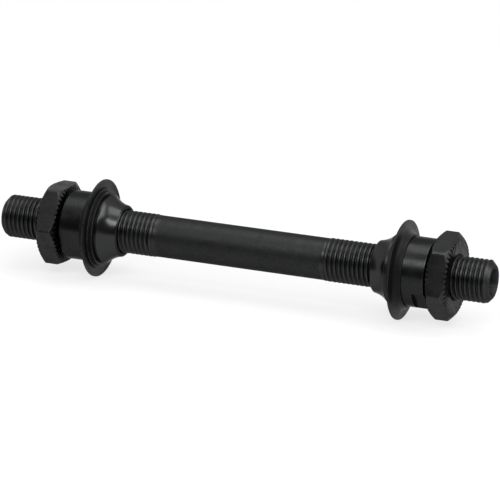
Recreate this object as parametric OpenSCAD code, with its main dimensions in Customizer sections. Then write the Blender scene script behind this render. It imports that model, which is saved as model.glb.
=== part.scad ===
// Hollow front hub axle with its cones, dust seals and locknuts.
// The axle lies along X, with its middle at the origin and +Z up.

/* [Axle] */
// Length of the axle over its two ends
axle_len = 108; // [90:1:145]
// Outer diameter of the threads
thread_d = 9; // [8:0.1:10]
// Diameter of the plain shank between the threads
shank_d = 8.75; // [7.6:0.05:8.9]
// Diameter of the hole for the skewer
skewer_bore_d = 5.3; // [4.8:0.1:5.8]
// Length of thread at the left end
left_thread_len = 35; // [30:0.5:40]
// Length of thread at the right end
right_thread_len = 36; // [30:0.5:40]
// Length of the taper where a thread runs out into the shank
thread_runout = 0.8; // [0.3:0.1:1.5]
// Length of the chamfer at each end
end_chamfer_len = 0.9; // [0.5:0.1:1.4]
// Diameter of each end face, inside the chamfer
end_face_d = 7; // [6.4:0.1:7.6]
// Size of the chamfer at the mouth of the skewer hole
bore_mouth_chamfer = 0.3; // [0.1:0.05:0.5]

/* [Locknuts] */
// Width of a locknut across its flats
nut_af = 16; // [15:0.5:18]
// Thickness of a locknut
nut_thick = 4.4; // [3:0.1:6]
// Slope of the chamfers on a locknut's corners, from its face
nut_chamfer_deg = 35; // [20:1:40]
// How far a locknut's round face edge lies inside its flats
nut_face_inset = 0.1; // [0.05:0.05:0.5]
// Size of the chamfer at a locknut's bore
nut_bore_chamfer = 0.4; // [0.2:0.05:0.6]
// Number of serrations round each face of a locknut
nut_teeth = 48; // [36:6:54]
// Depth of the serrations at the edge of a locknut's face
nut_tooth_depth = 0.3; // [0.15:0.05:0.35]
// Angle between the two sides of a serration
nut_tooth_angle = 90; // [60:5:100]
// Width of the plain ring between a locknut's bore and its serrations
nut_plain_ring = 0.65; // [0.5:0.05:1]
// Length of axle that stands out of the left locknut
left_stand_out = 10; // [6:0.1:13]
// Length of axle that stands out of the right locknut
right_stand_out = 7.7; // [6:0.1:13]
// Turn of the left locknut about the axle
left_nut_turn = -5; // [-30:1:30]
// Turn of the right locknut about the axle
right_nut_turn = 10; // [-30:1:30]
// Gap between a loose locknut and its cone
nut_gap = 0.3; // [0.25:0.05:0.6]
// Clearance round the threads in a locknut and in a cone
thread_clear = 0.05; // [0.02:0.01:0.09]

/* [Cones] */
// Diameter of a cone's body
cone_body_d = 14.5; // [13.5:0.1:16]
// Length of a cone
cone_len = 12.5; // [11:0.1:15]
// Width across the two spanner flats of a cone
cone_flats_af = 13; // [12:0.5:13.4]
// Length of the spanner flats
cone_flats_len = 2.8; // [2:0.1:3.5]
// Turn of the left cone's flats about the axle
left_flats_turn = 109; // [0:1:180]
// Turn of the right cone's flats about the axle
right_flats_turn = 134; // [0:1:180]
// Chamfer round a cone's outer face
cone_edge_chamfer = 0.3; // [0.1:0.05:0.5]
// Length of the ball race along the axle
race_len = 3.4; // [2.5:0.1:4]
// Radius of the hollow curve of the ball race
race_curve_r = 6; // [4.5:0.1:9]
// Diameter of the nose where the ball race ends
nose_d = 10.9; // [10.4:0.1:11.6]
// Chamfer round the nose
nose_chamfer = 0.3; // [0.1:0.05:0.5]
// Size of the chamfer at each end of a cone's bore
cone_bore_chamfer = 0.3; // [0.1:0.05:0.4]

/* [Dust seals] */
// Diameter of a seal's rim
seal_rim_d = 20.6; // [18:0.1:24]
// Thickness of a seal's rim
seal_rim_thick = 0.35; // [0.25:0.05:0.8]
// Distance from a cone's outer face to the start of its seal
seal_start = 5; // [4:0.1:5.5]
// Distance from the seal's start to the outer side of its disc
seal_disc_offset = 1.5; // [1:0.1:2]
// How far the disc leans over towards the hub at its rim
seal_lean = 0.15; // [0:0.05:0.5]
// Thickness of the sleeve at the seal's outer end
seal_lip_wall = 0.35; // [0.2:0.05:0.6]
// Radius of the hollow curve between the sleeve and the disc
seal_sweep_r = 1.4; // [0.8:0.1:1.8]
// Wall of the collar on the hub side of the disc
seal_collar_wall = 0.7; // [0.4:0.05:1]
// Length of the collar past the disc
seal_collar_len = 1.2; // [0.6:0.1:1.5]
// Width of the step round the foot of the collar
seal_step_width = 0.5; // [0.2:0.05:0.8]
// Height of that step
seal_step_height = 0.45; // [0.2:0.05:0.6]
// Squeeze of the seal's sleeve on the cone's body
seal_squeeze = 0.03; // [0:0.01:0.08]

/* [Hidden] */
$fn = 96;

steel_black = [0.13, 0.13, 0.14];
cone_black = [0.17, 0.17, 0.19];
nut_black = [0.24, 0.24, 0.25];
seal_black = [0.08, 0.08, 0.08];

half_len = axle_len / 2;
thread_r = thread_d / 2;
shank_r = shank_d / 2;
skewer_bore_r = skewer_bore_d / 2;
tapped_bore_r = thread_r + thread_clear;

nut_flat_r = nut_af / 2;
nut_corner_r = nut_flat_r / cos(30);
nut_face_r = nut_flat_r - nut_face_inset;
left_nut_x = -half_len + left_stand_out;
right_nut_x = half_len - right_stand_out;
nut_ring_r = tapped_bore_r + nut_bore_chamfer + nut_plain_ring;
// The serrations lean into the nut, so they start from nothing at the plain ring.
nut_tooth_lean = atan(nut_tooth_depth / (nut_face_r - nut_ring_r));

// A cone's outer face stands off its locknut's inner face.
left_cone_x = left_nut_x + nut_thick + nut_gap;
right_cone_x = right_nut_x - nut_thick - nut_gap;

cone_body_r = cone_body_d / 2;
nose_r = nose_d / 2;
race_end = cone_len - nose_chamfer;
race_start = race_end - race_len;
// The race's curve passes through its two ends and has its centre outside the cone.
race_chord = [nose_r - cone_body_r, race_len];
race_mid = [(cone_body_r + nose_r) / 2, (race_start + race_end) / 2];
race_sag = sqrt(pow(race_curve_r, 2) - pow(norm(race_chord) / 2, 2));
race_centre = race_mid + race_sag * [race_chord[1], -race_chord[0]] / norm(race_chord);

seal_rim_r = seal_rim_d / 2;
seal_bore_r = cone_body_r - seal_squeeze;
seal_lip_r = cone_body_r + seal_lip_wall;
seal_disc_z = seal_start + seal_disc_offset;
seal_back_z = seal_disc_z + seal_rim_thick;
seal_collar_r = cone_body_r + seal_collar_wall;
seal_step_r = seal_collar_r + seal_step_width;

over = 1;

// Stands a piece that was made along Z at x, with its Z axis pointing along +X.
module towards_right(x) {
    translate([x, 0, 0])
        rotate([0, 90, 0])
            children();
}

// The same, with the piece's Z axis pointing along -X.
module towards_left(x) {
    translate([x, 0, 0])
        rotate([0, -90, 0])
            children();
}

// The hollow rod, with its two threads, its run-outs and its chamfered ends
module axle_profile() {
    mouth_r = skewer_bore_r + bore_mouth_chamfer;
    end_r = end_face_d / 2;
    left_shank = -half_len + left_thread_len;
    right_shank = half_len - right_thread_len;
    polygon([
        [skewer_bore_r, -half_len + bore_mouth_chamfer],
        [mouth_r, -half_len],
        [end_r, -half_len],
        [thread_r, -half_len + end_chamfer_len],
        [thread_r, left_shank - thread_runout],
        [shank_r, left_shank],
        [shank_r, right_shank],
        [thread_r, right_shank + thread_runout],
        [thread_r, half_len - end_chamfer_len],
        [end_r, half_len],
        [mouth_r, half_len],
        [skewer_bore_r, half_len - bore_mouth_chamfer],
    ]);
}

module axle() {
    color(steel_black)
        towards_right(0)
            rotate_extrude()
                axle_profile();
}

// A blank a little wider than the hexagon, with the cones that turn off its corners on both faces
module nut_turned_profile() {
    blank_r = nut_corner_r + nut_face_inset;
    cone_depth = (blank_r - nut_face_r) * tan(nut_chamfer_deg);
    polygon([
        [tapped_bore_r + nut_bore_chamfer, 0],
        [nut_face_r, 0],
        [blank_r, cone_depth],
        [blank_r, nut_thick - cone_depth],
        [nut_face_r, nut_thick],
        [tapped_bore_r + nut_bore_chamfer, nut_thick],
        [tapped_bore_r, nut_thick - nut_bore_chamfer],
        [tapped_bore_r, nut_bore_chamfer],
    ]);
}

// The hexagon with its corners turned off, with a flat square to the X axis
module nut_blank() {
    intersection() {
        rotate_extrude()
            nut_turned_profile();
        rotate(30)
            translate([0, 0, -over])
                cylinder(h = nut_thick + 2 * over, r = nut_corner_r, $fn = 6);
    }
}

// The cutter of one serration on the face at z = 0, along the X axis
module nut_tooth_cutter() {
    reach = nut_corner_r + nut_face_inset - nut_ring_r;
    cutter_depth = reach * tan(nut_tooth_lean) + nut_face_inset;
    half_width = cutter_depth * tan(nut_tooth_angle / 2);
    translate([nut_ring_r, 0, 0])
        rotate([0, 90 - nut_tooth_lean, 0])
            translate([0, 0, -nut_face_inset])
                linear_extrude(reach / cos(nut_tooth_lean) + nut_face_inset)
                    polygon([[0, 0], [cutter_depth, half_width], [cutter_depth, -half_width]]);
}

// The serrations of both faces, the second set turned over about the middle of the nut
module nut_serrations() {
    for (over_turn = [0, 180])
        translate([0, 0, nut_thick / 2])
            rotate([over_turn, 0, 0])
                translate([0, 0, -nut_thick / 2])
                    for (tooth = [0 : nut_teeth - 1])
                        rotate((tooth + 0.5) * 360 / nut_teeth)
                            nut_tooth_cutter();
}

// A locknut from its outer face at z = 0, with a flat at the given turn from the local X axis
module locknut(turn) {
    rotate(turn)
        difference() {
            nut_blank();
            nut_serrations();
        }
}

module left_locknut() {
    color(nut_black)
        towards_right(left_nut_x)
            locknut(left_nut_turn);
}

module right_locknut() {
    color(nut_black)
        towards_left(right_nut_x)
            locknut(-right_nut_turn);
}

// The cone's outline, with the hollow race cut out of its corner
module cone_profile() {
    difference() {
        polygon([
            [tapped_bore_r + cone_bore_chamfer, 0],
            [cone_body_r - cone_edge_chamfer, 0],
            [cone_body_r, cone_edge_chamfer],
            [cone_body_r, race_end],
            [nose_r, race_end],
            [nose_r - nose_chamfer, cone_len],
            [tapped_bore_r + cone_bore_chamfer, cone_len],
            [tapped_bore_r, cone_len - cone_bore_chamfer],
            [tapped_bore_r, cone_bore_chamfer],
        ]);
        translate(race_centre)
            circle(r = race_curve_r);
    }
}

// A cone from its outer face at z = 0, with its flats square to the given turn
module cone_body(turn) {
    difference() {
        rotate_extrude()
            cone_profile();
        rotate(turn)
            for (side = [0, 180])
                rotate(side)
                    translate([cone_flats_af / 2, -cone_body_r, -over])
                        cube([cone_body_r, cone_body_d, cone_flats_len + over]);
    }
}

module left_cone() {
    color(cone_black)
        towards_right(left_cone_x)
            cone_body(left_flats_turn);
}

module right_cone() {
    color(cone_black)
        towards_left(right_cone_x)
            cone_body(-right_flats_turn);
}

// A thin flared disc on a sleeve, swept into it on one side and stepped down to a collar on the other
module seal_profile() {
    difference() {
        polygon([
            [seal_bore_r, seal_start],
            [seal_lip_r, seal_start],
            [seal_lip_r, seal_disc_z - seal_sweep_r],
            [seal_lip_r + seal_sweep_r, seal_disc_z],
            [seal_rim_r, seal_disc_z + seal_lean],
            [seal_rim_r, seal_back_z + seal_lean],
            [seal_step_r, seal_back_z],
            [seal_step_r, seal_back_z + seal_step_height],
            [seal_collar_r, seal_back_z + seal_step_height],
            [seal_collar_r, seal_back_z + seal_collar_len],
            [seal_bore_r, seal_back_z + seal_collar_len],
        ]);
        translate([seal_lip_r + seal_sweep_r, seal_disc_z - seal_sweep_r])
            circle(r = seal_sweep_r);
    }
}

module seal() {
    rotate_extrude()
        seal_profile();
}

module left_seal() {
    color(seal_black)
        towards_right(left_cone_x)
            seal();
}

module right_seal() {
    color(seal_black)
        towards_left(right_cone_x)
            seal();
}

axle();
left_cone();
left_seal();
left_locknut();
right_cone();
right_seal();
right_locknut();
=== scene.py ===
"""Looks of a hollow front hub axle with its cones, dust seals and locknuts.

The packed model is the fixed frame. Each solid is stood for by a surface of the same form
that adds what the source leaves out: the screw threads, soft edges, two fine grooves on
each seal and the finishes.
Everything is worked out in millimetres along the axle and put into the meshes in metres.
"""

import math

import bpy
import numpy as np
from bpy.props import FloatProperty, FloatVectorProperty, IntProperty, PointerProperty
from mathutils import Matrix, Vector


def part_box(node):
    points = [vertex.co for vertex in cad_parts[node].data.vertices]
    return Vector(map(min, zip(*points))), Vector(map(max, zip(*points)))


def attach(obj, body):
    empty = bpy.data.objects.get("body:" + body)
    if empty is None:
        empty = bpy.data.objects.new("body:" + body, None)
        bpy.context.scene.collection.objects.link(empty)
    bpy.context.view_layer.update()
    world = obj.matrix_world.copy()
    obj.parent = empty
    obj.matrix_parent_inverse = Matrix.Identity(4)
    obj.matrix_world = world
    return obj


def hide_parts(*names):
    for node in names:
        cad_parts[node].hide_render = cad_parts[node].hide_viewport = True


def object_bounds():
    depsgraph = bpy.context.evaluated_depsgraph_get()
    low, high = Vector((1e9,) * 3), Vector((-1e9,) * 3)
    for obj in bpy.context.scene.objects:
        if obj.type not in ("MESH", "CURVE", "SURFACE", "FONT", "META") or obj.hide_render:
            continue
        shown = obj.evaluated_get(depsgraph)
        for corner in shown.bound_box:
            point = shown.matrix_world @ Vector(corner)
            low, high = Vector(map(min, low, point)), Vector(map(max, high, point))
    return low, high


bl_info = {
    "name": "Hub Axle Looks",
    "version": (1, 0, 0),
    "blender": (4, 5, 0),
    "location": "3D View > Sidebar > Hub Axle",
    "description": "Dresses the packed hub axle with threads, soft edges and finishes",
    "category": "Object",
}

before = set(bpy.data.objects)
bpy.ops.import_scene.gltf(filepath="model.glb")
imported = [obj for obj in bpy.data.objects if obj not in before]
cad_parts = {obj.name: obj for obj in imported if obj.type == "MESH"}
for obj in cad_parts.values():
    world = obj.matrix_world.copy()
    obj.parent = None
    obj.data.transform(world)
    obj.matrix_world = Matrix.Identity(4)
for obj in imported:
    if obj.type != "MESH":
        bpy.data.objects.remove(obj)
CAD_BOX = [list(corner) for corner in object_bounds()]
BOX = {name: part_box(name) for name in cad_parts}

FULL = 2 * np.pi
MM = 1000  # millimetres in a metre
SHARP = math.radians(48)  # edges that turn more than this stay sharp
MERGE = 1e5  # points closer than a hundred-thousandth of a millimetre are one
# Where the rows of a thread lie within one pitch, and the share of its depth at each
THREAD_ROWS = np.array([-0.16, 0.16, 0.2, 0.4, 0.45, 0.55, 0.6, 0.8])
THREAD_SHARE = np.array([0.0, 0.0, 0.08, 0.92, 1.0, 1.0, 0.92, 0.08])


def length(name, description, mm):
    """A size that is shown in the scene's unit of length."""
    return FloatProperty(
        name=name, description=description, default=mm / MM, min=0, unit="LENGTH", precision=5
    )


def angle(name, description, degrees):
    """An angle that is shown in degrees."""
    return FloatProperty(
        name=name, description=description, default=math.radians(degrees), unit="ROTATION"
    )


def tint(name, description, colour):
    """A colour in linear values."""
    return FloatVectorProperty(
        name=name, description=description, default=colour, size=3, min=0, max=1, subtype="COLOR"
    )


def share(name, description, value, top=1.0):
    """A plain number between nothing and its highest value."""
    return FloatProperty(name=name, description=description, default=value, min=0, max=top)


class AxleSizes(bpy.types.PropertyGroup):
    """Sizes of the axle and of its threads."""

    pitch: length("Pitch", "Advance of the thread in one turn", 1.0)
    depth: length("Thread depth", "Height of the thread from root to crest", 0.42)
    thread_r: length("Thread radius", "Radius over the thread's crests", 4.5)
    shank_r: length("Shank radius", "Radius of the plain shank", 4.375)
    bore_r: length("Bore radius", "Radius of the hole for the skewer", 2.65)
    mouth: length("Bore mouth", "Size of the chamfer at the hole's mouth", 0.3)
    end_r: length("End radius", "Radius of each end face inside its chamfer", 3.5)
    end_len: length("End chamfer", "Length of the chamfer at each end", 0.9)
    left_len: length("Left thread", "Length of thread at the left end", 35.0)
    right_len: length("Right thread", "Length of thread at the right end", 36.0)
    runout: length("Run-out", "Length of the taper into the shank", 0.8)
    fade: length("Fade", "Length over which the thread loses its depth", 1.1)


class LocknutSizes(bpy.types.PropertyGroup):
    """Sizes of the two locknuts."""

    flat_r: length("Flat", "Distance from the axle's line to a flat", 8.0)
    face_r: length("Face", "Radius of the face inside the chamfer", 7.9)
    ring_r: length("Plain ring", "Radius where the serrations start", 5.6)
    mouth: length("Bore mouth", "Size of the chamfer at the threaded bore", 0.4)
    tooth_depth: length("Serration depth", "Depth of the serrations at the face's edge", 0.3)
    corner: length("Corner", "Softness of the hexagon's corners", 0.14)
    edge: length("Edge", "Softness of the chamfer's edges", 0.13)
    slope: angle("Chamfer slope", "Slope of the chamfer from the face", 35)
    left_turn: angle("Left turn", "Turn of the left locknut about the axle", -5)
    right_turn: angle("Right turn", "Turn of the right locknut about the axle", 10)
    teeth: IntProperty(name="Serrations", description="Serrations round a face", default=48, min=12)


class ConeSizes(bpy.types.PropertyGroup):
    """Sizes of the two cones."""

    body_r: length("Body", "Radius of the body", 7.25)
    flat_r: length("Flat", "Distance from the axle's line to a spanner flat", 6.5)
    flat_len: length("Flat length", "Length of the spanner flats", 2.8)
    chamfer: length("Edge chamfer", "Chamfer round the outer face", 0.3)
    race_from: length("Race start", "Distance from the outer face to the race", 8.8)
    race_to: length("Race end", "Distance from the outer face to the race's end", 12.2)
    race_r: length("Race curve", "Radius of the race's hollow curve", 6.0)
    nose_r: length("Nose", "Radius of the nose", 5.45)
    nose: length("Nose chamfer", "Chamfer round the nose", 0.3)
    mouth: length("Bore mouth", "Size of the chamfer at the threaded bore", 0.3)
    edge: length("Edge", "Softness of the edges", 0.1)
    left_turn: angle("Left turn", "Turn of the left cone's flats", 109)
    right_turn: angle("Right turn", "Turn of the right cone's flats", 134)


class SealSizes(bpy.types.PropertyGroup):
    """Sizes of the two dust seals, measured from the cone's outer face."""

    bore_r: length("Bore", "Radius of the bore", 7.22)
    rim_r: length("Rim", "Radius of the rim", 10.3)
    start: length("Start", "Distance to the start of the sleeve", 5.0)
    disc: length("Disc", "Distance to the outer side of the disc", 6.5)
    thick: length("Thickness", "Thickness of the disc at its rim", 0.35)
    lean: length("Lean", "How far the rim leans towards the hub", 0.15)
    lip_r: length("Sleeve", "Radius of the sleeve at its outer end", 7.6)
    sweep: length("Sweep", "Radius of the hollow curve into the disc", 1.4)
    collar_r: length("Collar", "Radius of the collar on the hub side", 7.95)
    collar_to: length("Collar end", "Distance to the end of the collar", 8.05)
    step_r: length("Step", "Radius of the step at the collar's foot", 8.45)
    step_to: length("Step end", "Distance to the top of the step", 7.3)
    groove: length("Groove", "Depth of the two fine grooves on the hub side", 0.09)
    edge: length("Edge", "Softness of the edges", 0.08)


class Finishes(bpy.types.PropertyGroup):
    """Colours of the finishes."""

    axle_tint: tint("Axle", "Black oxide of the axle", (0.026, 0.027, 0.0265))
    # Paler thread crests: partly rubbed wear, partly a painted glint
    crest_rub_and_glint_tint: tint("Crests", "Where the thread's crests are rubbed", (0.065, 0.066, 0.065))
    cone_tint: tint("Cones", "Black oxide of the cones", (0.021, 0.022, 0.0215))
    race_tint: tint("Races", "Polished race", (0.036, 0.037, 0.0365))
    nut_tint: tint("Locknuts", "Black oxide of the locknuts", (0.026, 0.027, 0.0265))
    nut_pale_tint: tint("Locknut grain", "Paler grain of the locknuts", (0.037, 0.038, 0.0375))
    worn_tint: tint("Worn edge", "Edges rubbed towards bare steel", (0.06, 0.06, 0.06))
    rubber_tint: tint("Seals", "Rubber of the dust seals", (0.002, 0.0021, 0.002))
    rubber_pale_tint: tint("Seal bloom", "Paler grain of the rubber", (0.006, 0.0062, 0.006))
    # Seal edges and rims: partly rubbed wear, partly a painted highlight
    rim_rub_and_highlight_tint: tint("Seal rims", "Rims of the seals where they are rubbed", (0.035, 0.0355, 0.035))


class StageSettings(bpy.types.PropertyGroup):
    """The camera, the lamps, the dark screen and the floor."""

    azimuth: angle("Azimuth", "Where the camera stands, round the object", 21.6)
    elevation: angle("Elevation", "How high the camera stands", 20.556)
    distance: length("Distance", "From the camera to the middle of the axle", 760)
    lens: FloatProperty(name="Lens", description="Focal length in mm", default=264.44, min=1)
    aside: length("Aside", "How far the camera stands to its right", 1.026)
    below: length("Below", "How far the camera stands below its line", 0.4645)
    floor_tint: tint("Floor", "Colour of the floor", (0.86, 0.86, 0.86))
    day: share("Room light", "Strength of the light from all round", 0.45, 5)
    screen: share("Screen", "How bright the dark screen before the object looks", 0.15)
    front_power: share("Front lamp", "Power of the lamp over the camera, in watts", 0.75, 100)
    spot_power: share("Small lamp", "Power of the small lamp at front right, in watts", 0.3, 100)
    side_power: share("Side lamp", "Power of the lamp at the right, in watts", 1.2, 100)
    top_power: share("Top lamp", "Power of the lamp overhead, in watts", 1.4, 100)


SETTINGS = {
    "hub_axle": AxleSizes,
    "hub_nuts": LocknutSizes,
    "hub_cones": ConeSizes,
    "hub_seals": SealSizes,
    "hub_finish": Finishes,
    "hub_stage": StageSettings,
}


def sizes(context, name):
    """The lengths of a group in millimetres, and its angles and counts as they are."""
    group = getattr(context.scene, name)
    found = {}
    for key, prop in group.bl_rna.properties.items():
        if key not in ("rna_type", "name"):
            value = getattr(group, key)
            found[key] = round(value * MM, 5) if prop.unit == "LENGTH" else value
    return type("Sizes", (), found)


def span(node):
    """A solid's two ends along the axle, in millimetres."""
    low, high = BOX[node]
    return low.x * MM, high.x * MM


# Surfaces. A turn is measured about the axle from straight up towards the camera's side.


def place(x, r, turn):
    """Points x along the axle: y is minus r times the turn's sine, z is r times its cosine."""
    x, r, turn = np.broadcast_arrays(x, r, turn)
    return np.stack([x, -r * np.sin(turn), r * np.cos(turn)], -1)


def ring_patch(x, r, turn, edge=0.0, zone=0.0):
    """Rings side by side: each row of x and r is carried once round the axle and closed.

    The edge mark says where wear shows, and on the seals also where a highlight is painted; the
    zone mark says where a piece has its second finish, and on the locknuts where shade is painted
    into the serrations' grooves.
    Each is one value, one for each row, or one for each point.
    """
    points = place(x, r, turn)
    rows, cols = points.shape[:2]
    at = np.arange(rows * cols).reshape(rows, cols)
    beside = np.roll(at, -1, 1)
    quads = np.stack([at[:-1], beside[:-1], beside[1:], at[1:]], -1).reshape(-1, 4)
    marks = [m if np.ndim(m) == 2 else np.reshape(m, (-1, 1)) for m in (edge, zone)]
    marks = [np.broadcast_to(m, (rows, cols)) for m in marks]
    return points.reshape(-1, 3), quads, marks[0].ravel(), marks[1].ravel()


def thread_patch(axle, x_from, x_to, r_from, r_to, radius, turn, zone=0.0):
    """A screw surface between two planes square to the axle.

    x is the pitch times the sum of the whole turns, the row's place in the pitch and the turn
    as a share of a full one, held between the planes. r comes from x and the row's share of the
    depth. The end of each row meets the start of the row one pitch further on, and whatever
    the planes hold back folds onto a plain ring there.
    """
    whole = np.arange(math.floor(x_from / axle.pitch) - 2, math.ceil(x_to / axle.pitch) + 2)
    along = (whole[:, None] + THREAD_ROWS).reshape(-1, 1)
    depth_share = np.tile(THREAD_SHARE, len(whole)).reshape(-1, 1)
    x = np.clip(axle.pitch * (along + turn / FULL), x_from, x_to)
    r = radius(x, depth_share)
    r = np.where(x <= x_from, r_from, np.where(x >= x_to, r_to, r))
    points = place(x, r, turn)
    rows, cols = x.shape
    at = np.arange(rows * cols).reshape(rows, cols)
    onward = np.full((rows, 1), -1)
    onward[: -len(THREAD_ROWS), 0] = at[len(THREAD_ROWS) :, 0]
    beside = np.concatenate([at[:, 1:], onward], 1)
    quads = np.stack([at[:-1], beside[:-1], beside[1:], at[1:]], -1).reshape(-1, 4)
    quads = quads[(quads >= 0).all(1)]
    # The crest mark, where the axle's finish paints the crests paler as rubbed wear and as a
    # painted glint
    crest = np.broadcast_to((1 - depth_share) ** 4, x.shape).ravel()
    return points.reshape(-1, 3), quads, crest, np.full(crest.shape, zone)


def soften(outline, softness):
    """Rounds the corners of outlines that run side by side, one per column.

    A corner of softness s becomes a quadratic curve from s before it to s after it, with one
    more point on each side that keeps the flats beside it flat. Also gives each row's edge mark.
    """
    most, beyond = 0.42, 1.7  # share of a flat that a curve may take, and where it is held
    rows, edge = [], []
    for k, s in enumerate(softness):
        here = outline[k]
        if s == 0:
            rows.append(here[None])
            edge.append([0.0])
            continue
        back, ahead = outline[k - 1] - here, outline[k + 1] - here
        far_back = np.maximum(np.linalg.norm(back, axis=-1, keepdims=True), 1e-9)
        far_ahead = np.maximum(np.linalg.norm(ahead, axis=-1, keepdims=True), 1e-9)
        reach = np.minimum(s, most * np.minimum(far_back, far_ahead))
        to_start, to_end = back / far_back * reach, ahead / far_ahead * reach
        t = np.array([0, 0.25, 0.5, 0.75, 1]).reshape(-1, 1, 1)
        curve = here + (1 - t) ** 2 * to_start + t**2 * to_end
        before, after = here + to_start * beyond, here + to_end * beyond
        rows.append(np.concatenate([before[None], curve, after[None]]))
        edge.append([0.0, 0.5, 1.0, 1.0, 1.0, 0.5, 0.0])
    return np.concatenate(rows), np.concatenate(edge)


def add_piece(name, node, body, patches, material):
    """Joins patches into one closed mesh and lets it stand for a solid.

    Points that meet are made one, so a quad that folds onto itself becomes a triangle or goes,
    and all faces are turned over if they enclose a negative volume.
    """
    start = np.cumsum([0] + [len(p[0]) for p in patches])
    points = np.concatenate([p[0] for p in patches])
    quads = np.concatenate([p[1] + s for p, s in zip(patches, start)])
    marks = [np.concatenate([p[k] for p in patches]) for k in (2, 3)]
    keys = np.round(points * MERGE).astype(np.int64)
    _, first, kept = np.unique(keys, axis=0, return_index=True, return_inverse=True)
    points, quads = points[first], kept.ravel()[quads]

    same = quads == np.roll(quads, -1, 1)
    crossed = (quads[:, 0] == quads[:, 2]) | (quads[:, 1] == quads[:, 3])
    whole = quads[(same.sum(1) == 0) & ~crossed]
    folded = (same.sum(1) == 1) & ~crossed
    threes = quads[folded][~same[folded]].reshape(-1, 3)
    tris = np.concatenate([whole[:, [0, 1, 2]], whole[:, [0, 2, 3]], threes])
    a, b, c = (points[tris[:, k]] for k in range(3))
    if np.einsum("ij,ij->", a, np.cross(b, c)) < 0:
        whole, threes = whole[:, ::-1], threes[:, ::-1]

    mesh = bpy.data.meshes.new(name)
    mesh.from_pydata((points / MM).tolist(), [], whole.tolist() + threes.tolist())
    for label, values in zip(("edge", "zone"), marks):
        layer = mesh.attributes.new(label, "FLOAT", "POINT")
        layer.data.foreach_set("value", values[first].astype(np.float32))
    mesh.polygons.foreach_set("use_smooth", np.ones(len(mesh.polygons), bool))
    mesh.set_sharp_from_angle(angle=SHARP)
    mesh.materials.append(material)
    mesh.update()
    piece = bpy.data.objects.new(name, mesh)
    bpy.context.scene.collection.objects.link(piece)
    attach(piece, body)
    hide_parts(node)
    return piece


# Finishes. The groups give masks and values, and each material has its own shader.
# How much black oxide reflects at grazing angles, where bare metal has 1
GRAZING, NUT_GRAZING = (0.5, 0.5, 0.5), (0.63, 0.63, 0.63)
GRAIN, RUBBER_GRAIN = 0.00003, 0.00004  # metres between the grain's highs and lows


class Nodes:
    """A node tree with short words for adding and joining nodes."""

    def __init__(self, tree):
        self.tree = tree
        tree.nodes.clear()
        self.column = 0

    def add(self, kind, **values):
        """Adds a node, sets its properties, and sets or links its inputs by name or number."""
        node = self.tree.nodes.new(kind)
        self.column += 1
        node.location = (self.column % 12 * 190, -(self.column // 12) * 260)
        for key, value in values.items():
            if key != "inputs":
                setattr(node, key, value)
        for key, value in values.get("inputs", {}).items():
            if isinstance(value, bpy.types.NodeSocket):
                self.tree.links.new(value, node.inputs[key])
            else:
                node.inputs[key].default_value = value
        return node

    def math(self, operation, *values):
        """A Math node's result."""
        inputs = dict(enumerate(values))
        return self.add("ShaderNodeMath", operation=operation, inputs=inputs).outputs[0]

    def noise(self, vector, scale, detail=2.0, roughness=0.5):
        """A noise's value."""
        inputs = {"Vector": vector, "Scale": scale, "Detail": detail, "Roughness": roughness}
        return self.add("ShaderNodeTexNoise", inputs=inputs).outputs[0]

    def ramp(self, value, low, high, to_low=0.0, to_high=1.0):
        """A value carried from one range to another and held inside it."""
        inputs = {"Value": value, 1: low, 2: high, 3: to_low, 4: to_high}
        return self.add("ShaderNodeMapRange", clamp=True, inputs=inputs).outputs[0]

    def mix(self, factor, colour_a, colour_b):
        """Two colours mixed by a factor."""
        inputs = {0: factor, 6: colour_a, 7: colour_b}
        return self.add("ShaderNodeMix", data_type="RGBA", inputs=inputs).outputs[2]


def new_group(name, inputs, outputs):
    """An empty shader node group with named sockets, and its helper, input and output nodes."""
    tree = bpy.data.node_groups.new(name, "ShaderNodeTree")
    for socket, (kind, default) in inputs.items():
        made = tree.interface.new_socket(name=socket, in_out="INPUT", socket_type=kind)
        made.default_value = default
    for socket, kind in outputs.items():
        tree.interface.new_socket(name=socket, in_out="OUTPUT", socket_type=kind)
    n = Nodes(tree)
    return tree, n, n.add("NodeGroupInput"), n.add("NodeGroupOutput")


def turned_grain_group():
    """Fine lines as a lathe leaves them: noise on the distance along the axle and from it."""
    if "Turned grain" in bpy.data.node_groups:
        return bpy.data.node_groups["Turned grain"]
    inputs = {"Fineness": ("NodeSocketFloat", 9000.0)}
    tree, n, given, out = new_group("Turned grain", inputs, {"Lines": "NodeSocketFloat"})
    place_at = n.add("ShaderNodeTexCoord").outputs["Object"]
    parts = n.add("ShaderNodeSeparateXYZ", inputs={0: place_at}).outputs
    squares = [n.math("MULTIPLY", parts[k], parts[k]) for k in (1, 2)]
    from_axle = n.math("SQRT", n.math("ADD", *squares))
    flat = n.add("ShaderNodeCombineXYZ", inputs={0: parts[0], 1: from_axle, 2: 0.0}).outputs[0]
    lines = n.noise(flat, given.outputs["Fineness"], 3.0, 0.6)
    tree.links.new(lines, out.inputs["Lines"])
    return tree


def mottle_group():
    """Soft blotches and a fine grain, both from noise in the part's own space."""
    if "Mottle" in bpy.data.node_groups:
        return bpy.data.node_groups["Mottle"]
    inputs = {
        "Blotch Scale": ("NodeSocketFloat", 350.0),
        "Grain Scale": ("NodeSocketFloat", 5000.0),
    }
    outputs = {"Blotches": "NodeSocketFloat", "Grain": "NodeSocketFloat"}
    tree, n, given, out = new_group("Mottle", inputs, outputs)
    place_at = n.add("ShaderNodeTexCoord").outputs["Object"]
    blotches = n.noise(place_at, given.outputs["Blotch Scale"], 3.0, 0.55)
    grain = n.noise(place_at, given.outputs["Grain Scale"], 3.0, 0.6)
    tree.links.new(n.ramp(blotches, 0.35, 0.65), out.inputs["Blotches"])
    tree.links.new(n.ramp(grain, 0.25, 0.75), out.inputs["Grain"])
    return tree


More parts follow.
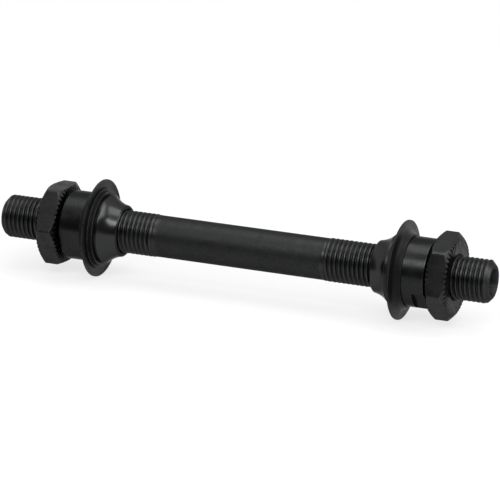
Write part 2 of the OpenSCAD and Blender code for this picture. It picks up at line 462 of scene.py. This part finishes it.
def worn_edge_and_glint_group():
    """Where handling has rubbed an edge, and where a glint or highlight is painted on the thread
    crests and the seals' edges: the edge mark, broken up by noise.
    """
    if "Worn edge" in bpy.data.node_groups:
        return bpy.data.node_groups["Worn edge"]
    inputs = {
        "Amount": ("NodeSocketFloat", 0.5),
        "Patch Scale": ("NodeSocketFloat", 900.0),
    }
    tree, n, given, out = new_group("Worn edge", inputs, {"Mask": "NodeSocketFloat"})
    edge = n.add("ShaderNodeAttribute", attribute_name="edge").outputs["Fac"]
    place_at = n.add("ShaderNodeTexCoord").outputs["Object"]
    patchy = n.ramp(n.noise(place_at, given.outputs["Patch Scale"], 3.0, 0.6), 0.3, 0.62)
    mask = n.math("MULTIPLY", n.math("MULTIPLY", edge, patchy), given.outputs["Amount"])
    tree.links.new(mask, out.inputs["Mask"])
    return tree


def scratches_group():
    """Thin straight marks in two directions: noise drawn out long and cut at a high level."""
    if "Scratches" in bpy.data.node_groups:
        return bpy.data.node_groups["Scratches"]
    inputs = {"Amount": ("NodeSocketFloat", 0.5)}
    tree, n, given, out = new_group("Scratches", inputs, {"Mask": "NodeSocketFloat"})
    place_at = n.add("ShaderNodeTexCoord").outputs["Object"]
    directions = (((0.4, 0.2, 0.9), (150, 4200, 4200)), ((1.1, 0.5, 0.3), (3800, 180, 3800)))
    lines = []
    for turn, stretch in directions:
        inputs = {"Vector": place_at, "Rotation": turn, "Scale": stretch}
        turned = n.add("ShaderNodeMapping", inputs=inputs).outputs[0]
        lines.append(n.ramp(n.noise(turned, 1.0, 1.0), 0.66, 0.72))
    mask = n.math("MULTIPLY", n.math("MAXIMUM", lines[0], lines[1]), given.outputs["Amount"])
    tree.links.new(mask, out.inputs["Mask"])
    return tree


def use(n, tree, **inputs):
    """A group's outputs, with its own values for this material."""
    node = n.add("ShaderNodeGroup", node_tree=tree)
    for key, value in inputs.items():
        node.inputs[key.replace("_", " ")].default_value = value
    return node.outputs


def rgba(colour, times=1.0):
    """A colour made darker or paler, with full alpha."""
    return (*[c * times for c in colour], 1.0)


def new_material(name):
    """A material, and if it is fresh its helper and its shader joined to the output."""
    material = bpy.data.materials.get(name)
    if material:
        return material, None, None
    material = bpy.data.materials.new(name)
    material.use_nodes = True
    n = Nodes(material.node_tree)
    shader = n.add("ShaderNodeBsdfPrincipled")
    n.add("ShaderNodeOutputMaterial", inputs={"Surface": shader.outputs[0]})
    return material, n, shader


def bump(n, shader, height, strength, distance):
    """A height that tilts the shader's normals."""
    inputs = {"Height": height, "Strength": strength, "Distance": distance}
    node = n.add("ShaderNodeBump", inputs=inputs)
    n.tree.links.new(node.outputs[0], shader.inputs["Normal"])


def axle_material(f):
    """Satin black oxide that is smoother on the rolled threads, with crests paler, partly as rubbed
    wear and partly as a painted glint.
    """
    material, n, shader = new_material("axle_black_oxide")
    if n:
        mottle = use(n, mottle_group(), Blotch_Scale=420.0, Grain_Scale=5200.0)
        lines = use(n, turned_grain_group(), Fineness=9000.0)["Lines"]
        wear_and_glint = use(n, worn_edge_and_glint_group(), Amount=0.28, Patch_Scale=900.0)["Mask"]
        tone = n.mix(mottle["Grain"], rgba(f.axle_tint, 0.55), rgba(f.axle_tint, 1.5))
        # Crests paler through the edge mark: rubbed wear and a painted glint
        colour = n.mix(wear_and_glint, tone, rgba(f.crest_rub_and_glint_tint))
        n.tree.links.new(colour, shader.inputs["Base Color"])
        shader.inputs["Metallic"].default_value = 1.0
        shader.inputs["Specular Tint"].default_value = rgba(GRAZING)
        rolled = n.add("ShaderNodeAttribute", attribute_name="zone").outputs["Fac"]
        rough = n.ramp(mottle["Blotches"], 0, 1, 0.44, 0.56)
        rough = n.math("MULTIPLY", rough, n.ramp(rolled, 0, 1, 1.0, 0.7))
        n.tree.links.new(rough, shader.inputs["Roughness"])
        grain = n.math("MULTIPLY", mottle["Grain"], 0.4)
        height = n.math("ADD", n.math("MULTIPLY", lines, 0.6), grain)
        bump(n, shader, height, 0.35, GRAIN)
    return material


def cone_material(f):
    """Black oxide on the body, and a polished ball race where the zone mark is set."""
    material, n, shader = new_material("cone_black_oxide")
    if n:
        race = n.add("ShaderNodeAttribute", attribute_name="zone").outputs["Fac"]
        mottle = use(n, mottle_group(), Blotch_Scale=300.0, Grain_Scale=4600.0)
        lines = use(n, turned_grain_group(), Fineness=7000.0)["Lines"]
        wear_and_glint = use(n, worn_edge_and_glint_group(), Amount=0.4, Patch_Scale=700.0)["Mask"]
        tone = n.mix(mottle["Grain"], rgba(f.cone_tint, 0.75), rgba(f.cone_tint, 1.3))
        colour = n.mix(race, n.mix(wear_and_glint, tone, rgba(f.worn_tint)), rgba(f.race_tint))
        n.tree.links.new(colour, shader.inputs["Base Color"])
        shader.inputs["Metallic"].default_value = 1.0
        shader.inputs["Specular Tint"].default_value = rgba(GRAZING)
        rough = n.ramp(mottle["Blotches"], 0, 1, 0.24, 0.34)
        rough = n.math("MULTIPLY", rough, n.ramp(race, 0, 1, 1.0, 0.75))
        n.tree.links.new(rough, shader.inputs["Roughness"])
        height = n.math("MULTIPLY", lines, n.ramp(race, 0, 1, 1.0, 0.25))
        bump(n, shader, height, 0.3, GRAIN)
    return material


def nut_material(f):
    """Black oxide with scratches and rubbed edges, and painted shade darkening the serrations'
    grooves.
    """
    material, n, shader = new_material("locknut_black_oxide")
    if n:
        mottle = use(n, mottle_group(), Blotch_Scale=380.0, Grain_Scale=4200.0)
        scratch = use(n, scratches_group(), Amount=0.12)["Mask"]
        wear_and_glint = use(n, worn_edge_and_glint_group(), Amount=0.5, Patch_Scale=520.0)["Mask"]
        tone = n.mix(mottle["Grain"], rgba(f.nut_tint), rgba(f.nut_pale_tint))
        blotched = n.math("MULTIPLY", mottle["Blotches"], 0.4)
        tone = n.mix(blotched, tone, rgba(f.nut_tint, 0.6))
        # Painted shade: the zone mark darkens the serrations' grooves to a quarter of the tone
        groove = n.add("ShaderNodeAttribute", attribute_name="zone").outputs["Fac"]
        tone = n.mix(groove, tone, rgba(f.nut_tint, 0.25))
        colour = n.mix(n.math("MAXIMUM", wear_and_glint, scratch), tone, rgba(f.worn_tint))
        n.tree.links.new(colour, shader.inputs["Base Color"])
        shader.inputs["Metallic"].default_value = 1.0
        shader.inputs["Specular Tint"].default_value = rgba(NUT_GRAZING)
        n.tree.links.new(n.ramp(mottle["Blotches"], 0, 1, 0.30, 0.44), shader.inputs["Roughness"])
        bump(n, shader, n.math("SUBTRACT", mottle["Grain"], scratch), 0.35, GRAIN)
    return material


def rubber_material(f):
    """Matt black rubber with a fine grain, a faint bloom, and edges and rims paler, partly as
    rubbed wear and partly as a painted highlight.
    """
    material, n, shader = new_material("matt_black_rubber")
    if n:
        mottle = use(n, mottle_group(), Blotch_Scale=260.0, Grain_Scale=6000.0)
        lines = use(n, turned_grain_group(), Fineness=5200.0)["Lines"]
        wear_and_glint = use(n, worn_edge_and_glint_group(), Amount=0.75, Patch_Scale=260.0)["Mask"]
        tone = n.mix(mottle["Grain"], rgba(f.rubber_tint), rgba(f.rubber_pale_tint))
        # Edges and rims paler: rubbed wear and a painted highlight
        colour = n.mix(wear_and_glint, tone, rgba(f.rim_rub_and_highlight_tint))
        n.tree.links.new(colour, shader.inputs["Base Color"])
        shader.inputs["Metallic"].default_value = 0.0
        shader.inputs["Specular IOR Level"].default_value = 0.09
        n.tree.links.new(n.ramp(mottle["Blotches"], 0, 1, 0.34, 0.46), shader.inputs["Roughness"])
        height = n.math("ADD", n.math("MULTIPLY", lines, 0.4), mottle["Grain"])
        bump(n, shader, height, 0.45, RUBBER_GRAIN)
    return material


# The pieces, one operator for each or for a pair of like ones.


class HUBAXLE_OT_axle(bpy.types.Operator):
    """Make the hollow axle with its two rolled threads"""

    bl_idname = "hubaxle.axle"
    bl_label = "Axle"

    def execute(self, context):
        a = sizes(context, "hub_axle")
        around, lead = 96, 0.2  # points in a ring, and the plain length before a thread
        turn = (np.arange(around) * FULL / around).reshape(1, -1)
        low, high = span("axle")
        left, right = low + a.left_len, high - a.right_len

        def left_radius(x, depth_share):
            crest = np.interp(x, [left - a.runout, left], [a.thread_r, a.shank_r])
            depth = a.depth * np.clip((left - lead - x) / a.fade, 0, 1)
            chamfer = a.end_r + (x - low) * (a.thread_r - a.end_r) / a.end_len
            return np.minimum(crest - depth * depth_share, chamfer)

        def right_radius(x, depth_share):
            crest = np.interp(x, [right, right + a.runout], [a.shank_r, a.thread_r])
            depth = a.depth * np.clip((x - right - lead) / a.fade, 0, 1)
            chamfer = a.end_r + (high - x) * (a.thread_r - a.end_r) / a.end_len
            return np.minimum(crest - depth * depth_share, chamfer)

        shank_rings, bore_rings, hold = 38, 28, 0.05
        mouth_r = a.bore_r + a.mouth
        shank_x = np.linspace(left, right, shank_rings).reshape(-1, 1)
        inside = np.linspace(low + a.mouth, high - a.mouth, bore_rings)
        bore_x = np.concatenate([[high], inside[::-1], [low]]).reshape(-1, 1)
        bore_r = np.concatenate([[mouth_r], np.full(bore_rings, a.bore_r), [mouth_r]])
        face_r = np.array([mouth_r, mouth_r + hold, a.end_r - hold, a.end_r]).reshape(-1, 1)
        patches = [
            thread_patch(a, low, left, a.end_r, a.shank_r, left_radius, turn, 1.0),
            ring_patch(shank_x, a.shank_r, turn),
            thread_patch(a, right, high, a.shank_r, a.end_r, right_radius, turn, 1.0),
            ring_patch(high, face_r[::-1], turn),
            ring_patch(bore_x, bore_r.reshape(-1, 1), turn),
            ring_patch(low, face_r, turn),
        ]
        material = axle_material(context.scene.hub_finish)
        add_piece("threaded_axle", "axle", "axle", patches, material)
        return {"FINISHED"}


def tapped_bore(axle, low, high, mouth, turn):
    """The inside thread of a nut or cone: the axle's thread set a gap off it, opened by a
    chamfer at each mouth, where r grows as the distance to the face falls."""
    gap, major_gap, minor_gap = 0.07, 0.05, 0.08
    major, minor = axle.thread_r + major_gap, axle.thread_r - axle.depth + minor_gap

    def radius(x, depth_share):
        thread = np.clip(axle.thread_r - axle.depth * depth_share + gap, minor, major)
        chamfer = major + mouth - np.minimum(x - low, high - x)
        return np.maximum(thread, chamfer)

    end_r = major + mouth
    return thread_patch(axle, low, high, end_r, end_r, radius, turn), end_r


class HUBAXLE_OT_locknuts(bpy.types.Operator):
    """Make the two serrated locknuts"""

    bl_idname = "hubaxle.locknuts"
    bl_label = "Locknuts"

    def make(self, context, side, turn_to):
        """A face's depth at radius r is the larger of the chamfer's and of a serration's. A
        serration is a V whose depth grows evenly from the plain ring outwards."""
        a, s = sizes(context, "hub_axle"), sizes(context, "hub_nuts")
        low, high = span(f"{side}_locknut")
        pitch = FULL / s.teeth
        growth = s.tooth_depth / (s.face_r - s.ring_r)

        def tooth_turns(r):
            """Columns of every serration: its valley, its two sides and the land between."""
            narrowest, widest = 0.09 / r, 0.36 * pitch
            half = min(max(growth * (r - s.ring_r) / r, narrowest), widest)
            valley, bevel, land = 0.016 * pitch, 0.034 * pitch, 0.5 * pitch
            side_turns = np.array([valley, half - bevel, half + bevel, land - 0.055 * pitch])
            one = np.concatenate([-side_turns[::-1], side_turns, [land]])
            middles = (np.arange(s.teeth) + 0.5) * pitch
            return (middles[:, None] + one).reshape(1, -1)

        def depth(r, turns):
            """Depth of the serrations under the face."""
            off = (turns / pitch) % 1 - 0.5
            return np.maximum(growth * (r - s.ring_r) - np.abs(off) * pitch * r, 0)

        bore, mouth_r = tapped_bore(a, low, high, s.mouth, tooth_turns(s.ring_r - 1) + turn_to)
        # Rows on the plain ring, then on the serrations, the last one close to the face's edge
        face_rs = [mouth_r, mouth_r + 0.06, s.ring_r - 0.3]
        face_rs += [s.ring_r + further for further in (0, 0.25, 0.6, 1.0, 1.4, 1.8, 2.1)]
        last_r = s.face_r - 0.15
        face_turn = np.concatenate([tooth_turns(r) for r in face_rs])
        face_turn[0] = tooth_turns(s.ring_r - 1)
        face_r = np.array(face_rs).reshape(-1, 1)
        face_depth = depth(face_r, face_turn)

        # The hexagon's reach at each turn, with the two nearest flats blended at a corner
        turns = tooth_turns(s.face_r - 0.1)
        off = (turns + FULL / 12) % (FULL / 6) - FULL / 12
        near, next_one = s.flat_r / np.cos(off), s.flat_r / np.cos(FULL / 6 - np.abs(off))
        reach = near - s.corner * np.log1p(np.exp((near - next_one) / s.corner))
        t = np.array([0, 0.2, 0.4, 0.6, 0.8, 1.0]).reshape(-1, 1)
        out_r = s.face_r + t * (reach - s.face_r)
        out_depth = np.maximum((out_r - s.face_r) * math.tan(s.slope), depth(out_r, turns))
        half = (high - low) / 2
        wall = out_depth[-1] + np.array([0.4, 0.8]).reshape(-1, 1) * (half - out_depth[-1])
        outline = np.concatenate(
            [
                np.stack([np.broadcast_to(last_r, turns.shape), depth(last_r, turns)], -1),
                np.stack([out_r, out_depth], -1),
                np.stack([np.broadcast_to(reach, wall.shape), wall], -1),
            ]
        )
        outline, edge = soften(outline, [0, s.edge * 0.5, 0, 0, 0, 0, s.edge, 0, 0])
        r = np.concatenate([np.broadcast_to(face_r, face_turn.shape), outline[..., 0]])
        down = np.concatenate([face_depth, outline[..., 1]])
        turn = np.concatenate([face_turn, np.broadcast_to(turns, outline.shape[:2])]) + turn_to
        cut = depth(r, turn - turn_to)
        # The zone mark for painted shade in the serrations' grooves
        groove = np.clip(cut / (0.45 * s.tooth_depth), 0, 1) * (down < cut + 0.02)
        ridge = (down < 0.01) & (r > s.ring_r + 0.2)
        edge = np.maximum(ridge, np.concatenate([np.zeros(len(face_rs)), edge]).reshape(-1, 1))
        both = [np.concatenate([v, v[::-1]]) for v in (r, turn, edge, groove)]
        x = np.concatenate([high - down, low + down[::-1]])
        patches = [bore, ring_patch(x, *both)]
        material = nut_material(context.scene.hub_finish)
        node = f"{side}_locknut"
        add_piece(f"{side}_serrated_locknut", node, node, patches, material)

    def execute(self, context):
        s = context.scene.hub_nuts
        self.make(context, "left", s.left_turn)
        self.make(context, "right", s.right_turn)
        return {"FINISHED"}


class HUBAXLE_OT_cones(bpy.types.Operator):
    """Make the two cones with their ball races"""

    bl_idname = "hubaxle.cones"
    bl_label = "Cones"

    def make(self, context, side, turn_to):
        """The outline is carried round, and near the outer face r is held to the two flats,
        whose distance at a turn is the flat's own divided by the turn's cosine. The race is an
        arc through its two ends with its centre outside the cone."""
        a, s = sizes(context, "hub_axle"), sizes(context, "hub_cones")
        low, high = span(f"{side}_cone")
        size = high - low

        # Degrees from a flat's middle, close together where the flat meets the round body
        parts = [np.linspace(0, 18, 6), np.linspace(19.4, 28, 13), np.linspace(30, 90, 17)]
        quarter = np.radians(np.concatenate(parts))
        turns = np.concatenate([quarter, np.pi - quarter, np.pi + quarter, FULL - quarter])
        turns = np.unique(np.round(turns, 9))
        turns = turns[turns < FULL - 1e-6].reshape(1, -1)
        cosine = np.maximum(np.abs(np.cos(turns)), 1e-3)
        flat = s.flat_r / cosine

        begin, end = np.array([s.race_from, s.body_r]), np.array([s.race_to, s.nose_r])
        chord = end - begin
        sag = math.sqrt(s.race_r**2 - (np.linalg.norm(chord) / 2) ** 2)
        centre = (begin + end) / 2 + sag * np.array([-chord[1], chord[0]]) / np.linalg.norm(chord)
        swing = np.linspace(0, 1, 15)[1:-1]
        first = math.atan2(*(begin - centre)[::-1])
        last = math.atan2(*(end - centre)[::-1])
        swing = first + (last - first) * swing
        race = centre + s.race_r * np.stack([np.cos(swing), np.sin(swing)], -1)

        wide, past_flat, before_race = np.ones(turns.shape), 2.0, 0.4
        bore, mouth_r = tapped_bore(a, low, high, s.mouth, turns + turn_to)
        rows = [
            (0.0, mouth_r * wide, 0),
            (0.0, (mouth_r + 0.3) * wide, 0),
            (0.0, np.minimum(s.body_r - s.chamfer, flat), s.edge),
            (s.chamfer, np.minimum(s.body_r, flat), s.edge),
            (s.flat_len, np.minimum(s.body_r, flat), s.edge * 0.6),
            (s.flat_len, s.body_r * wide, s.edge * 0.6),
            (s.flat_len + past_flat, s.body_r * wide, 0),
            (s.race_from - before_race, s.body_r * wide, 0),
            (s.race_from, s.body_r * wide, s.edge),
            *[(point[0], point[1] * wide, 0) for point in race],
            (s.race_to, s.nose_r * wide, s.edge * 0.5),
            (size, (s.nose_r - s.nose) * wide, s.edge * 0.5),
            (size, (mouth_r + 0.05) * wide, 0),
            (size, mouth_r * wide, 0),
        ]
        outline = np.stack([np.stack([u * wide, r], -1)[0] for u, r, _ in rows])
        outline, edge = soften(outline, [row[2] for row in rows])
        u, r = outline[..., 0], outline[..., 1]
        from_face = u[:, 0]
        polished = (from_face > s.race_from - 0.02) & (from_face < s.race_to + 0.01)
        x = low + u if side == "left" else high - u
        onward = slice(None, None, -1 if side == "left" else 1)
        marks = edge[onward], polished[onward].astype(float)
        patches = [bore, ring_patch(x[onward], r[onward], turns + turn_to, *marks)]
        material = cone_material(context.scene.hub_finish)
        node, body = f"{side}_cone", f"{side}_cone_and_seal"
        add_piece(f"{side}_cone_with_race", node, body, patches, material)

    def execute(self, context):
        s = context.scene.hub_cones
        self.make(context, "left", s.left_turn)
        self.make(context, "right", s.right_turn)
        return {"FINISHED"}


class HUBAXLE_OT_seals(bpy.types.Operator):
    """Make the two rubber dust seals"""

    bl_idname = "hubaxle.seals"
    bl_label = "Dust seals"

    def make(self, context, side):
        """A closed outline carried once round the axle. The hollow between sleeve and disc is a
        quarter circle, and the disc leans evenly from its foot to its rim."""
        s = sizes(context, "hub_seals")
        low, high = span(f"{side}_cone")
        foot_r = s.lip_r + s.sweep
        quarter = np.linspace(0, np.pi / 2, 15)
        sweep_u = s.disc - s.sweep + s.sweep * np.sin(quarter)
        sweep_r = foot_r - s.sweep * np.cos(quarter)
        back = s.disc + s.thick

        def on_back(r):
            """The hub side of the disc at radius r, which leans towards the rim."""
            return back + s.lean * (r - s.step_r) / (s.rim_r - s.step_r)

        groove_rs = [s.rim_r - 0.75, s.rim_r - 0.62, s.rim_r - 0.49]
        rows = [
            (s.start, s.bore_r, s.edge),
            (s.start, s.lip_r, s.edge),
            *[(u, r, 0) for u, r in zip(sweep_u, sweep_r)],
            (s.disc + s.lean, s.rim_r, s.edge),
            (back + s.lean, s.rim_r, s.edge),
            (on_back(groove_rs[2]), groove_rs[2], 0.02),
            (on_back(groove_rs[1]) - s.groove, groove_rs[1], 0.02),
            (on_back(groove_rs[0]), groove_rs[0], 0.02),
            (on_back(s.step_r + 0.06), s.step_r + 0.06, 0),
            (back, s.step_r, 0),
            (s.step_to, s.step_r, s.edge),
            (s.step_to, s.collar_r, 0.03),
            (s.collar_to, s.collar_r, s.edge),
            (s.collar_to, s.bore_r, s.edge),
        ]
        outline = np.array([[row[:2]] for row in rows], float)
        closed = np.concatenate([outline[-1:], outline, outline[:1]])
        softness = [0, *[row[2] for row in rows], 0]
        outline, edge = soften(closed, softness)
        outline, edge = outline[1:-1], edge[1:-1]
        outline = np.concatenate([outline, outline[:1]])
        edge = np.concatenate([edge, edge[:1]])
        u, r = outline[..., 0], outline[..., 1]
        around = 192
        turn = (np.arange(around) * FULL / around).reshape(1, -1)
        x = low + u if side == "left" else high - u
        material = rubber_material(context.scene.hub_finish)
        patches = [ring_patch(x, r, turn, edge)]
        node, body = f"{side}_seal", f"{side}_cone_and_seal"
        add_piece(f"{side}_flared_dust_seal", node, body, patches, material)

    def execute(self, context):
        self.make(context, "left")
        self.make(context, "right")
        return {"FINISHED"}


class HUBAXLE_OT_stage(bpy.types.Operator):
    """Set up the floor, the dark screen, the lamps, the room light and the camera"""

    bl_idname = "hubaxle.stage"
    bl_label = "Stage"

    # Metres, and degrees from straight before the object towards its right-hand end
    FLOOR_GAP, FLOOR_HALF, FLOOR_GLOW = 0.00002, 3.0, 0.75
    SCREEN_TURNS, SCREEN_DISTANCE, SCREEN_TOP = (-62, 75), 1.05, 1.5
    # Each lamp's azimuth and elevation in degrees, its two sides and its distance in metres
    LAMPS = {
        "front_lamp": (3.4, 48, (0.25, 0.12), 0.38),
        "small_lamp": (40, 48, (0.1, 0.1), 0.5),
        "side_lamp": (100, 33, (0.34, 0.3), 0.5),
        "top_lamp": (180, 80, (0.5, 0.3), 0.5),
    }

    def seen_directly(self, n):
        """One where a ray comes from the camera, off a mirror-like surface or through a clear
        one, and zero elsewhere."""
        path = n.add("ShaderNodeLightPath").outputs
        seen = n.math("MAXIMUM", path["Is Camera Ray"], path["Is Glossy Ray"])
        return n.math("MAXIMUM", seen, path["Is Transmission Ray"])

    def floor(self, s):
        """A plain sheet under the rims, pale and near white to the camera, that keeps shadows."""
        z = CAD_BOX[0][2] - self.FLOOR_GAP
        half = self.FLOOR_HALF
        corners = [(-half, -half, z), (half, -half, z), (half, half, z), (-half, half, z)]
        mesh = bpy.data.meshes.new("floor")
        mesh.from_pydata(corners, [], [(0, 1, 2, 3)])
        material = bpy.data.materials.new("floor_pale")
        material.use_nodes = True
        n = Nodes(material.node_tree)
        sheet = {"Base Color": rgba(s.floor_tint), "Roughness": 0.9}
        shader = n.add("ShaderNodeBsdfPrincipled", inputs=sheet)
        glow = n.add("ShaderNodeEmission", inputs={"Color": (1, 1, 1, 1), "Strength": 1.0})
        factor = n.math("MULTIPLY", self.seen_directly(n), self.FLOOR_GLOW)
        both = {0: factor, 1: shader.outputs[0], 2: glow.outputs[0]}
        mixed = n.add("ShaderNodeMixShader", inputs=both)
        n.add("ShaderNodeOutputMaterial", inputs={"Surface": mixed.outputs[0]})
        mesh.materials.append(material)
        floor = bpy.data.objects.new("floor", mesh)
        bpy.context.scene.collection.objects.link(floor)

    def screen(self, s):
        """A dark curved sheet before the object, seen only in mirror-like surfaces, where it paints
        a dark reflection; it casts no shadow and lights no matt surface. Points lie at a fixed
        distance from the upright line through the middle, at each turn and height."""
        turn = np.radians(np.linspace(*self.SCREEN_TURNS, 41)).reshape(1, -1)
        height = np.linspace(CAD_BOX[0][2], self.SCREEN_TOP, 12).reshape(-1, 1)
        turn, height = np.broadcast_arrays(turn, height)
        away = self.SCREEN_DISTANCE
        points = np.stack([away * np.sin(turn), -away * np.cos(turn), height], -1)
        at = np.arange(turn.size).reshape(turn.shape)
        quads = np.stack([at[:-1, :-1], at[:-1, 1:], at[1:, 1:], at[1:, :-1]], -1).reshape(-1, 4)
        mesh = bpy.data.meshes.new("dark_screen")
        mesh.from_pydata(points.reshape(-1, 3).tolist(), [], quads.tolist())
        material = bpy.data.materials.new("dark_screen")
        material.use_nodes = True
        n = Nodes(material.node_tree)
        # A faint grey glow seen only in mirror-like surfaces: a painted dark reflection
        glow = n.add("ShaderNodeEmission", inputs={"Color": (1, 1, 1, 1), "Strength": s.screen})
        n.add("ShaderNodeOutputMaterial", inputs={"Surface": glow.outputs[0]})
        mesh.materials.append(material)
        screen = bpy.data.objects.new("dark_screen", mesh)
        screen.visible_camera = False
        screen.visible_diffuse = False
        screen.visible_shadow = False
        bpy.context.scene.collection.objects.link(screen)

    def room(self, s):
        """White where it is seen or mirrored, and a plain soft light elsewhere."""
        world = bpy.data.worlds.new("room")
        bpy.context.scene.world = world
        world.use_nodes = True
        n = Nodes(world.node_tree)
        strength = n.ramp(self.seen_directly(n), 0, 1, s.day, 1.0)
        back = n.add("ShaderNodeBackground", inputs={"Color": (1, 1, 1, 1), "Strength": strength})
        n.add("ShaderNodeOutputWorld", inputs={"Surface": back.outputs[0]})

    def lamp(self, name, power):
        """A flat soft lamp that faces the object's middle and isn't seen by the camera."""
        azimuth, elevation, size, distance = self.LAMPS[name]
        a, e = math.radians(azimuth), math.radians(elevation)
        at = Vector((math.sin(a) * math.cos(e), -math.cos(a) * math.cos(e), math.sin(e))) * distance
        data = bpy.data.lights.new(name, "AREA")
        data.shape = "RECTANGLE"
        data.size, data.size_y = size
        data.energy = power
        lamp = bpy.data.objects.new(name, data)
        lamp.location = at
        lamp.rotation_euler = (-at).to_track_quat("-Z", "Y").to_euler()
        lamp.visible_camera = False
        bpy.context.scene.collection.objects.link(lamp)

    def camera(self, s):
        """Stands off along the view's line, moved a little aside and down, with no shift."""
        a, e = s.azimuth, s.elevation
        back = Vector((math.sin(a) * math.cos(e), -math.cos(a) * math.cos(e), math.sin(e)))
        right = Vector((math.cos(a), math.sin(a), 0))
        up = back.cross(right)
        data = bpy.data.cameras.new("camera")
        data.sensor_width = 36
        data.lens = s.lens
        data.clip_start, data.clip_end = 0.01, 20
        camera = bpy.data.objects.new("camera", data)
        camera.location = back * s.distance + right * s.aside - up * s.below
        camera.rotation_euler = (-back).to_track_quat("-Z", "Y").to_euler()
        bpy.context.scene.collection.objects.link(camera)
        bpy.context.scene.camera = camera

    def execute(self, context):
        s = context.scene.hub_stage
        self.floor(s)
        self.room(s)
        self.screen(s)
        self.lamp("front_lamp", s.front_power)
        self.lamp("small_lamp", s.spot_power)
        self.lamp("side_lamp", s.side_power)
        self.lamp("top_lamp", s.top_power)
        self.camera(s)
        context.scene.view_settings.view_transform = "Standard"
        return {"FINISHED"}


OPERATORS = (
    HUBAXLE_OT_axle,
    HUBAXLE_OT_locknuts,
    HUBAXLE_OT_cones,
    HUBAXLE_OT_seals,
    HUBAXLE_OT_stage,
)


class HUBAXLE_PT_panel(bpy.types.Panel):
    """Makes the pieces and shows their sizes"""

    bl_idname = "HUBAXLE_PT_panel"
    bl_label = "Hub Axle"
    bl_space_type = "VIEW_3D"
    bl_region_type = "UI"
    bl_category = "Hub Axle"

    def draw(self, context):
        for operator in OPERATORS:
            self.layout.operator(operator.bl_idname)
        for name, group in SETTINGS.items():
            box = self.layout.box()
            box.label(text=group.__doc__)
            for key in group.__annotations__:
                box.prop(getattr(context.scene, name), key)


CLASSES = (*SETTINGS.values(), *OPERATORS, HUBAXLE_PT_panel)


def register():
    """Makes the classes known and gives the scene its settings."""
    for cls in CLASSES:
        bpy.utils.register_class(cls)
    for name, group in SETTINGS.items():
        setattr(bpy.types.Scene, name, PointerProperty(type=group))


def unregister():
    """Takes the settings and the classes away again."""
    for name in SETTINGS:
        delattr(bpy.types.Scene, name)
    for cls in reversed(CLASSES):
        bpy.utils.unregister_class(cls)


def main():
    """Makes every piece and the stage."""
    register()
    bpy.ops.hubaxle.axle()
    bpy.ops.hubaxle.locknuts()
    bpy.ops.hubaxle.cones()
    bpy.ops.hubaxle.seals()
    bpy.ops.hubaxle.stage()


if __name__ == "__main__":
    main()
